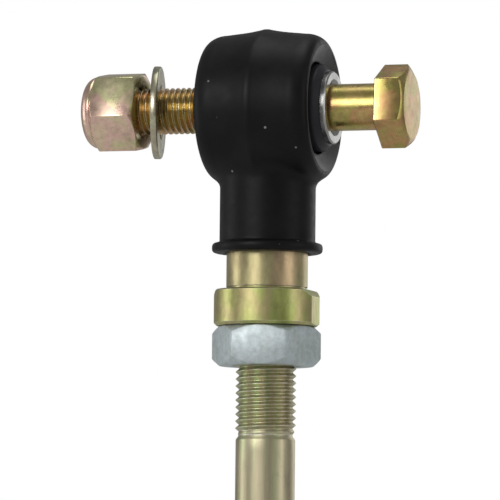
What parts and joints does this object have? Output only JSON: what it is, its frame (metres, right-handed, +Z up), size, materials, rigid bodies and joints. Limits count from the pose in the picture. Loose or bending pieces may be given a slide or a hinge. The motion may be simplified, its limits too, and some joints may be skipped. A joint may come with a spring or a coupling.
{
  "type": "tie rod end",
  "caption": "Tie rod end: ball joint in a rubber dust boot on a threaded bar with a jam nut, and the bolt, washer and lock nut that clamp its ball.",
  "frame": {"origin": "centre of the ball, the point about which the rod end swivels", "axes": "+X along the bolt, from its nut to its head; +Z up the tie rod bar's axis, from the bar's free end to the ball"},
  "size_m": [0.0723, 0.0344, 0.1472],
  "materials": {
    "bar_zinc": "olive zinc plate with lengthwise streaks",
    "silver_zinc": "bright silver zinc plate",
    "body_zinc": "yellow zinc plate",
    "race_steel": "plain ground steel",
    "liner_plastic": "low-friction liner",
    "ball_steel": "ground and plated steel",
    "boot_rubber": "black moulded rubber, slightly glossy",
    "bolt_zinc": "yellow zinc plate, iridescent",
    "washer_zinc": "pale zinc plate",
    "nut_zinc": "yellow zinc plate, iridescent",
    "insert_nylon": "nylon"
  },
  "bodies": {
    "bolt": {"hex_bolt": "bolt_zinc"},
    "ball": {"ball": "ball_steel", "boot_lip_head_side": "boot_rubber", "boot_lip_nut_side": "boot_rubber"},
    "liner": {"liner": "liner_plastic"},
    "rod_end": {"rod_end_body": "body_zinc", "race_half_head_side": "race_steel", "race_half_nut_side": "race_steel", "boot_shell": "boot_rubber"},
    "jam_nut": {"jam_nut": "silver_zinc"},
    "bar": {"tie_rod_bar": "bar_zinc"},
    "washer": {"washer": "washer_zinc"},
    "nut_insert": {"nylon_insert": "insert_nylon"},
    "lock_nut": {"lock_nut": "nut_zinc"}
  },
  "joints": [
    {"name": "swing_about_bolt", "type": "hinge", "parent": "bolt", "child": "ball", "pos_m": [0, 0, 0], "axis": [1, 0, 0], "continuous": true},
    {"name": "tilt_along_bolt", "type": "hinge", "parent": "ball", "child": "liner", "pos_m": [0, 0, 0], "axis": [0, 1, 0], "range_deg": [-12, 12]},
    {"name": "twist_about_bar", "type": "hinge", "parent": "liner", "child": "rod_end", "pos_m": [0, 0, 0], "axis": [0, 0, 1], "range_deg": [-12, 12]},
    {"name": "bar_travel", "type": "slide", "parent": "rod_end", "child": "jam_nut", "axis": [0, 0, -1], "range_m": [0, 0.012]},
    {"name": "bar_turn", "type": "hinge", "parent": "jam_nut", "child": "bar", "pos_m": [0, 0, 0], "axis": [0, 0, -1], "range_deg": [0, 2882]},
    {"name": "washer_slide", "type": "slide", "parent": "bolt", "child": "washer", "axis": [1, 0, 0], "range_m": [0, 0.00551]},
    {"name": "nut_travel", "type": "slide", "parent": "bolt", "child": "nut_insert", "axis": [1, 0, 0], "range_m": [0, 0.00564]},
    {"name": "nut_turn", "type": "hinge", "parent": "nut_insert", "child": "lock_nut", "pos_m": [0, 0, 0], "axis": [1, 0, 0], "range_deg": [0, 1620]}
  ],
  "couplings": [
    {"joint": "bar_turn", "follows": "bar_travel", "rad_per_m": 4188.8},
    {"joint": "nut_travel", "follows": "nut_turn", "m_per_rad": 0.00019894},
    {"joint": "washer_slide", "follows": "nut_turn", "m_per_rad": 0.00019452}
  ]
}
